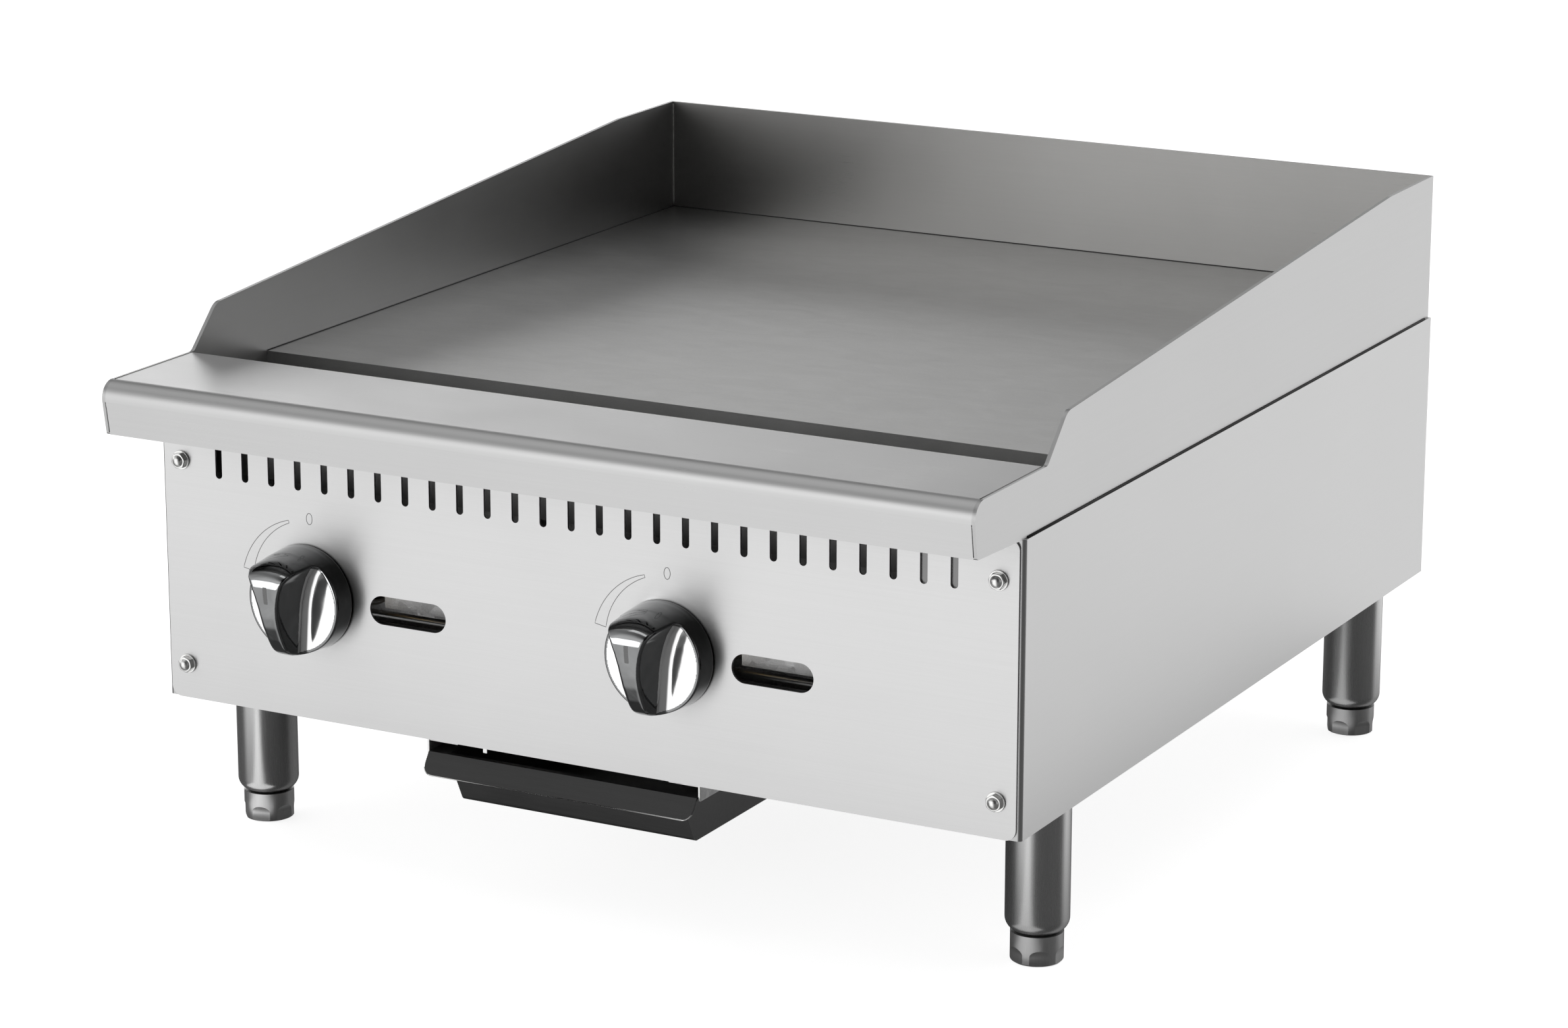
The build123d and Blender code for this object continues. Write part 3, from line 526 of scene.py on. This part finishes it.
def knobs():
    finishes = [knob_dark_chrome(), knob_bright_trim()]
    points, faces = mesh_field(knob_field, reach=36, back=0, front=49,
                               step=0.45)
    points = settle(points, knob_field)
    x, z, depth = points[faces].mean(1).T
    trim = ((np.hypot(x, z) < TRIM_RADIUS) & (depth > TRIM_BACK) & (depth < TRIM_FRONT)
            & (np.abs(x) > smooth_curve(z, HALF_WIDTH) + TRIM_GAP))
    for side, knob_x in KNOB_X.items():
        add_mesh("knob_" + side, on_panel(points, knob_x, KNOB_Z), faces, finishes,
                 rides="knob_" + side, slot="knob_black",
                 replaces=("knob_body_" + side, "knob_face_" + side),
                 face_materials=trim.astype(np.int32))
        knob_pointer(side, knob_x)


knobs()

# ---------------------------------------------------------------- cap nuts and washers
NUT_X, NUT_Z = 288.8, (124.4, 260.0)
NUT_TURNS = (12, 41, 3, 27)      # degrees: left low, left high, right low, right high
NUT_HALF = 4.75                  # half the width across flats
NUT_BACK, HEX_FRONT = 1.2, 4.2
DOME_RADIUS, DOME_BACK, DOME_FRONT = 3.7, 3.7, 6.55
DOME_SQUASH = 1.7
CHAMFER = 0.7071                 # 45 degrees
WASHER_OUTER, WASHER_INNER = 6.25, 3.1
WASHER_MIDDLE, WASHER_HALF = 0.62, 0.6


def nut_field(x, z, depth):
    radius = np.sqrt(x * x + z * z)
    angles = [math.radians(60 * k) for k in range(6)]
    hexagon = np.maximum.reduce([x * math.cos(a) + z * math.sin(a) - NUT_HALF for a in angles])
    base = smooth_max(hexagon, depth - HEX_FRONT, blend=0.4)
    corner = (radius + depth) * CHAMFER - (HEX_FRONT + NUT_HALF) * CHAMFER
    base = smooth_max(base, corner, blend=0.3)
    rise = np.clip(depth, DOME_BACK, 99) - DOME_BACK
    dome = np.sqrt(radius * radius + rise ** 2 * DOME_SQUASH) - DOME_RADIUS
    dome = np.maximum(dome, depth - DOME_FRONT)
    return smooth_max(smooth_min(base, dome, blend=0.5), NUT_BACK - depth, blend=0.3)


def washer_field(x, z, depth):
    radius = np.sqrt(x * x + z * z)
    ring = smooth_max(radius - WASHER_OUTER, WASHER_INNER - radius, blend=0.2)
    return smooth_max(ring, np.abs(depth - WASHER_MIDDLE) - WASHER_HALF, blend=0.35)


def at_panel_corners(name, points, faces, replaced, turns):
    copies = []
    for (side, z), turn in zip(product(SIDES, NUT_Z), turns):
        cos, sin = math.cos(math.radians(turn)), math.sin(math.radians(turn))
        turned = np.stack([points[:, 0] * cos - points[:, 1] * sin,
                           points[:, 0] * sin + points[:, 1] * cos, points[:, 2]], 1)
        copies.append(on_panel(turned, side * NUT_X, z))
    add_mesh(name, np.concatenate(copies),
             np.concatenate([faces + k * len(points) for k in range(len(copies))]),
             [bright], slot="bright_hardware", replaces=(replaced,))


nut = mesh_field(nut_field, reach=7, back=0.4, front=8, step=0.2)
washer = mesh_field(washer_field, reach=7, back=-0.6, front=1.8, step=0.1)
at_panel_corners("cap_nuts_polished", *nut, "panel_cap_nuts", NUT_TURNS)
at_panel_corners("washers_rolled", *washer, "panel_washers", (0, 0, 0, 0))

# ---------------------------------------------------------------- printed dial marks
NOUGHT_CENTRE = {"left": (-191.9, 233.5), "right": (67.1, 233.6)}
NOUGHT_HALF_WIDTH, NOUGHT_HALF_HEIGHT = 2.15, 3.7
WEDGE_SHIFT, WEDGE_Z = -1.3, 185.5       # the wedge's centre: x from the nought's, and z
INK_WIDTH, INK_RAISED, INK_SUNK = 0.38, 0.05, 0.3


def ribbon(name, loops):
    """Thin raised line along closed loops of (x, z) points on the front panel."""
    points, faces = [], []
    for loop in loops:
        along = np.roll(loop, -1, 0) - np.roll(loop, 1, 0)
        along /= np.linalg.norm(along, axis=1)[:, None]
        normals = np.stack([-along[:, 1], along[:, 0]], 1)
        faces += skin(len(loop), 4, first=len(points), closed=True)
        for centre, normal in zip(loop, normals):
            one = centre + normal * INK_WIDTH / 2
            other = centre - normal * INK_WIDTH / 2
            for (x, z), lift in ((one, INK_RAISED), (other, INK_RAISED),
                                 (other, -INK_SUNK), (one, -INK_SUNK)):
                points.append((x, PANEL_Y - lift, z))
    add_mesh(name, points, faces, [metal["dial_ink"]], smooth=False)


def dial_marks(side, x, z):
    """A nought above the knob and, round the knob's upper left, a wedge."""
    turn = np.linspace(0, 2 * np.pi, 49)[:-1]
    nought = np.stack([x + NOUGHT_HALF_WIDTH * np.cos(turn),
                       z + NOUGHT_HALF_HEIGHT * np.sin(turn)], 1)
    angles = np.radians(np.linspace(169, 108, 30))
    outer, inner = (np.stack([x + WEDGE_SHIFT + radii * np.cos(angles),
                              WEDGE_Z + radii * np.sin(angles)], 1)
                    for radii in (np.linspace(50.6, 47.4, 30), np.linspace(42.6, 45.6, 30)))
    ribbon("dial_marks_" + side, [nought, np.concatenate([outer, inner[::-1]])])


for side, centre in NOUGHT_CENTRE.items():
    dial_marks(side, *centre)

# ---------------------------------------------------------------- welds, seams, small sheet parts
LEDGE_X = 300.6
LIP_BOTTOM, LIP_TOP = (0.0, 288.3), (-5.4, 322.5)    # (y, z), the top before rounding
LEDGE_BEND = 11.0
LEDGE_BACK = 90
PLATE_TOP, PLATE_FRONT, PLATE_BACK = 306.2, 174, 713.0
TRAY_X = -9.7                # middle of the tray
TRAY_HALF, TRAY_CORNER = 90.0, 6.5
RAIL_REACH = 98.2            # from the tray's middle to each rail's outer face
RAIL_THICK = 1.4


def tube(name, lines, radius, material, sides=8, **placing):
    """Round bead along open lines of (x, y, z) points."""
    points, faces = [], []
    for line in lines:
        line = np.asarray(line, float)
        along = np.gradient(line, axis=0)
        along /= np.linalg.norm(along, axis=1)[:, None]
        reference = np.array([1.0, 0, 0] if abs(along[0][0]) < 0.7 else [0, 1.0, 0])
        faces += skin(len(line), sides, first=len(points))
        for centre, axis in zip(line, along):
            across = reference - axis * np.dot(reference, axis)
            across /= np.linalg.norm(across)
            third = np.cross(axis, across)
            for k in range(sides):
                angle = 2 * np.pi * k / sides
                points.append(centre + radius * (across * np.cos(angle) + third * np.sin(angle)))
    add_mesh(name, points, faces, [material], **placing)


def slabs(name, boxes):
    """Sheet pieces with broken edges; boxes are (x0, x1, y0, y1, z0, z1)."""
    points, faces = [], []
    for x0, x1, y0, y1, z0, z1 in boxes:
        cut = min(x1 - x0, y1 - y0, z1 - z0) * 0.22
        faces += skin(4, 8, first=len(points))
        for z, k in ((z0, cut), (z0 + cut, 0), (z1 - cut, 0), (z1, cut)):
            points += [(x, y, z) for x, y in (
                (x0 + k + cut, y0 + k), (x1 - k - cut, y0 + k),
                (x1 - k, y0 + k + cut), (x1 - k, y1 - k - cut),
                (x1 - k - cut, y1 - k), (x0 + k + cut, y1 - k),
                (x0 + k, y1 - k - cut), (x0 + k, y0 + k + cut))]
    add_mesh(name, points, faces, [metal["tray_hem_edge"]], smooth=False)


def ledge_line(x):
    """Up the ledge's front lip, round its bend and back along the top."""
    bottom, corner = np.array(LIP_BOTTOM), np.array(LIP_TOP)
    rise = (corner - bottom) / np.linalg.norm(corner - bottom)
    tangent = LEDGE_BEND / math.tan(math.acos(np.dot(-rise, (1.0, 0.0))) / 2)
    bend_start = corner - rise * tangent
    bend_end_y = corner[0] + tangent
    centre = np.array([bend_end_y, corner[1] - LEDGE_BEND])
    angle = math.atan2(*(bend_start - centre)[::-1])
    line = [bottom + rise * s for s in np.linspace(1.5, np.linalg.norm(bend_start - bottom), 6)]
    line += [centre + LEDGE_BEND * np.array([math.cos(a), math.sin(a)])
             for a in np.linspace(angle, math.pi / 2, 9)[1:]]
    line += [(y, corner[1]) for y in np.linspace(bend_end_y, LEDGE_BACK, 6)[1:]]
    return [(x, y, z) for y, z in line]


def plate_seams():
    z = PLATE_TOP + 0.1
    lines = [[(side * 300.3, y, z) for y in np.linspace(PLATE_FRONT, PLATE_BACK - 0.4, 12)]
             for side in SIDES]
    lines.append([(x, PLATE_BACK - 0.2, z) for x in np.linspace(-300, 300, 12)])
    tube("plate_edge_seams", lines, 0.42, metal["seam_shadow"], slot="griddle_plate_steel")


def splash_corners():
    """Slightly uneven upright beads in the two back corners."""
    wobble = np.random.default_rng(5).normal(0, 0.12, 24)
    heights = np.linspace(307, 384.5, 24)
    tube("splash_corner_beads",
         [[(side * (300.1 + 0.15 * w), PLATE_BACK - 0.5, z) for w, z in zip(wobble, heights)]
          for side in SIDES], 0.5, metal["corner_bead"])


def tray_hem():
    """Edge of the tray's leaning lip, turned up at both ends."""
    corner = [(TRAY_HALF + TRAY_CORNER * math.sin(t), TRAY_CORNER - TRAY_CORNER * math.cos(t))
              for t in np.linspace(0, math.pi / 2 * 0.8, 7)]
    outline = [(-x, up) for x, up in corner[::-1]] + corner
    tube("tray_lip_hem",
         [[(TRAY_X + x, 50.25 + up * 0.566, 80.95 + up * 0.825) for x, up in outline]],
         0.48, metal["tray_hem_edge"], rides="tray", slot="tray_steel")


tube("ledge_end_welds", [ledge_line(side * LEDGE_X) for side in SIDES], 0.30,
     metal["weld_bead"])
plate_seams()
splash_corners()
tray_hem()
slabs("rail_end_edges", [(TRAY_X + x, TRAY_X + x + RAIL_THICK, 59.7, 60.6, 91.5, 101.2)
                         for x in (-RAIL_REACH, RAIL_REACH - RAIL_THICK)])
slabs("panel_locating_tab", [(-68.6, -65.4, 62.2, 63.4, 97.0, 101.6)])
tube("rail_pin_holes", [[(side * RAIL_REACH + TRAY_X + x, 82.5, 94.6) for x in (-0.25, 0.25)]
                        for side in SIDES], 1.5, metal["seam_shadow"], sides=16)
tube("splash_panel_seams", [[(side * 303.15, y, 286.1) for y in np.linspace(66, 708, 12)]
                            for side in SIDES], 0.75, metal["seam_shadow"])


# ---------------------------------------------------------------- floor
def floor_finish():
    """Pale matt paper. What it sends into the metal depends on the direction: it glows to the
    front left and the back right, and is shaded elsewhere and close to the griddle."""
    finish = Finish("studio_floor")
    patches = finish.noise(scale=3.0, detail=3.0)
    geometry = finish.node("NewGeometry")
    level = finish.add("VectorMath", {0: geometry.outputs["Incoming"], 1: (1, 1, 0)},
                       operation="MULTIPLY")
    heading = finish.add("VectorMath", {0: level}, operation="NORMALIZE")

    def toward(azimuth, inner, outer):
        """1 for rays that travel towards the azimuth (degrees from +X)."""
        angle = math.radians(azimuth)
        return finish.lobe(heading, (-math.cos(angle), -math.sin(angle), 0), inner, outer)

    glow = finish.math("MAXIMUM", toward(azimuth=-116, inner=12, outer=42),
                       finish.math("MULTIPLY", toward(azimuth=62, inner=12, outer=38), 0.93))
    # distance outside the griddle's footprint, of half-size 0.29 by 0.31 m
    position = finish.node("SeparateXYZ", {0: geometry.outputs["Position"]})
    outside = [finish.math("SUBTRACT", finish.math("ABSOLUTE", position.outputs[k]), half)
               for k, half in enumerate((0.29, 0.31))]
    clear = finish.remap(finish.math("MAXIMUM", *outside), low=0.12, high=1.0,
                         start=-0.05, end=0.27, smooth=True)
    glow = finish.math("MULTIPLY", glow, clear)
    # strength of the glow, and the least the paper sends
    glow = finish.math("ADD", finish.math("MULTIPLY", glow, 1.08), 0.03)
    to_camera = finish.add("LightPath", output="Is Camera Ray")

    def by_ray(others, camera):
        return finish.add("Mix", {0: to_camera, 2: others, 3: camera})

    strength = by_ray(others=glow, camera=0.83)
    # towards the metal the paper's matt colour is turned down, so the glow decides
    paper = finish.math("MULTIPLY", finish.remap(patches, low=0.99, high=1.0),
                        by_ray(others=0.25, camera=0.89))
    finish.set({"Base Color": finish.grey(paper), "Roughness": 0.85,
                "Specular IOR Level": 0.1, "Emission Color": (1, 1, 1, 1),
                "Emission Strength": strength})
    finish.material.cycles.emission_sampling = "NONE"
    return finish.material


def studio_floor(half=14.0, drop=0.0005):
    material = floor_finish()
    mesh = bpy.data.meshes.new("studio_floor")
    mesh.from_pydata([(-half, -half, 0), (half, -half, 0), (half, half, 0), (-half, half, 0)],
                     [], [(0, 1, 2, 3)])
    obj = bpy.data.objects.new("studio_floor", mesh)
    mesh.materials.append(material)
    bpy.context.scene.collection.objects.link(obj)
    obj.location.z = -drop


studio_floor()


# ---------------------------------------------------------------- lights
def area(name, position, width, height, power):
    light = bpy.data.lights.new(name, "AREA")
    light.shape = "RECTANGLE"
    light.size = width
    light.size_y = height
    light.energy = power
    obj = bpy.data.objects.new(name, light)
    bpy.context.scene.collection.objects.link(obj)
    obj.location = position
    return obj


def aim(obj, target):
    obj.rotation_mode = "QUATERNION"
    away = Vector(target) - obj.location
    obj.rotation_quaternion = away.to_track_quat("-Z", "Y")


def receivers(name, objects):
    """Collection of the only objects a light reaches."""
    group = bpy.data.collections.new(name)
    for obj in objects:
        group.objects.link(obj)
    return group


def knob_reflectors():
    """Two soft boxes that only the glossy knobs see."""
    seen_by = receivers("knob_reflectors",
                        [bpy.data.objects["knob_" + side] for side in KNOB_X])
    target = (-0.065, -0.30, 0.19)
    # name, azimuth and elevation (degrees), distance, width, height (metres), radiance
    for name, azimuth, elevation, distance, width, height, radiance in (
            ("reflector_low", -117, -4.5, 0.8, 0.42, 0.235, 3.4),
            ("reflector_high", -112, 66, 1.3, 0.62, 0.30, 1.4)):
        turn, tilt = math.radians(azimuth), math.radians(elevation)
        position = (target[0] + distance * math.cos(tilt) * math.cos(turn),
                    target[1] + distance * math.cos(tilt) * math.sin(turn),
                    target[2] + distance * math.sin(tilt))
        box = area(name, position, width, height, radiance * math.pi * width * height)
        aim(box, target)
        box.light_linking.receiver_collection = seen_by


def leg_strips():
    """Upward strips on the floor in front of three legs, seen only by the legs and feet."""
    seen_by = receivers("leg_reflectors", [piece for name, piece in pieces.items()
                                           if name.startswith(("leg_front", "leg_rear", "foot_"))])
    near, far, width = 0.024, 0.33, 0.066        # reach from the leg's axis, metres
    middle = (near + far) / 2
    # tag, leg x and y (mm), azimuth (degrees), radiance
    for tag, x, y, azimuth, radiance in (("fl", -281.5, 134, -91, 1.0),
                                         ("fr", 281.5, 134, -100, 0.5),
                                         ("rr", 281.5, 648, -104, 0.5)):
        turn = math.radians(azimuth)
        centre = Vector(metres(x, y, 0)) + Vector((middle * math.cos(turn),
                                                   middle * math.sin(turn), 0.002))
        strip = area("leg_strip_" + tag, centre, width, far - near,
                     radiance * math.pi * width * (far - near))
        strip.rotation_euler = (math.pi, 0, math.radians(azimuth + 90))
        strip.visible_camera = False
        strip.light_linking.receiver_collection = seen_by


def inside_lights():
    """Stray light inside the front compartment."""
    for name, x in (("inside_left", -164.7), ("inside_right", 94.3)):
        light = area(name, metres(x, 66, 161), width=0.075, height=0.022, power=0.0045)
        aim(light, metres(x, 104, 161))
        light.visible_camera = False


def studio_world():
    """Soft light tent: white behind and to the left, dark towards the camera, which itself
    sees plain white."""
    world = bpy.data.worlds.new("studio_world")
    bpy.context.scene.world = world
    world.use_nodes = True
    graph = Graph(world.node_tree)
    direction = graph.add("TexCoord", output="Generated")

    def toward(x, y, z, **levels):
        return graph.lobe(direction, Vector((x, y, z)).normalized(), **levels)

    def times(first, second):
        return graph.math("MULTIPLY", first, second)

    up = graph.dot(direction, (0, 0, 1))
    # the white backdrop, a little dimmer straight behind, ending at its top edge
    backdrop_top = graph.remap(up, low=1.0, high=0.0, start=0.275, end=0.40, smooth=True)
    sky = graph.total(toward(-0.15, 0.98, 0.15, inner=30, outer=95, high=0.60),
                      toward(-0.85, 0.50, 0.20, inner=14, outer=42, high=1.25))
    sky = times(sky, toward(-0.10, 0.98, 0.15, inner=6, outer=34, low=1.0, high=0.75))
    sky = graph.total(sky, toward(0.52, 0.84, 0.18, inner=8, outer=36, high=0.35))
    sky = times(sky, backdrop_top)
    # overhead, brightening to the zenith
    sky = graph.total(sky, graph.remap(up, low=0.17, high=0.74, start=0.55, end=0.92,
                                       smooth=True))
    # dark towards the camera
    sky = times(sky, toward(0.50, -0.76, 0.42, inner=28, outer=74, low=1.0, high=0.08))
    # tall source at the front left, then fill for the two ends; both fade upwards
    fade = graph.remap(up, low=1.0, high=0.35, start=0.25, end=0.98, smooth=True)
    front_left = graph.total(toward(-0.66, -0.74, 0.16, inner=14, outer=44, high=0.76),
                             toward(-0.28, -0.94, 0.20, inner=5, outer=30, high=0.75))
    sky = graph.total(sky, times(front_left, fade))
    ends = graph.total(toward(0.98, 0.12, 0.16, inner=16, outer=48, high=0.34),
                       toward(-0.98, -0.10, 0.16, inner=16, outer=48, high=0.20))
    sky = graph.total(sky, times(ends, fade))
    tent = graph.add("Background", {0: graph.grey(sky), 1: 1.0})
    white = graph.add("Background", {0: (1, 1, 1, 1), 1: 1.0})
    to_camera = graph.add("LightPath", output="Is Camera Ray")
    graph.node("OutputWorld", {0: graph.add("MixShader", {0: to_camera, 1: tent, 2: white})})
    world.cycles.sampling_method = "MANUAL"
    world.cycles.sample_map_resolution = 512


def studio_camera():
    """Long lens from the front right, looking down on the griddle."""
    camera = bpy.data.cameras.new("camera")
    obj = bpy.data.objects.new("camera", camera)
    bpy.context.scene.collection.objects.link(obj)
    right = (0.8800047506, 0.4749639774, 0.0009268405)
    above = (-0.1261655060, 0.2318750162, 0.9645290260)
    behind = (0.4579016314, -0.8489070603, 0.2639751862)
    pose = Matrix((right, above, behind)).transposed().to_4x4()
    pose.translation = Vector(metres(1403.7707, -2275.0991, 1008.4108))
    obj.matrix_world = pose
    camera.sensor_width = 36.0
    camera.lens = 106.4803916
    camera.shift_x = 0.00189915966
    camera.shift_y = -0.00187857143
    camera.clip_end = 60
    bpy.context.scene.camera = obj


knob_reflectors()
leg_strips()
inside_lights()
studio_world()
studio_camera()
bpy.context.scene.view_settings.view_transform = "Standard"
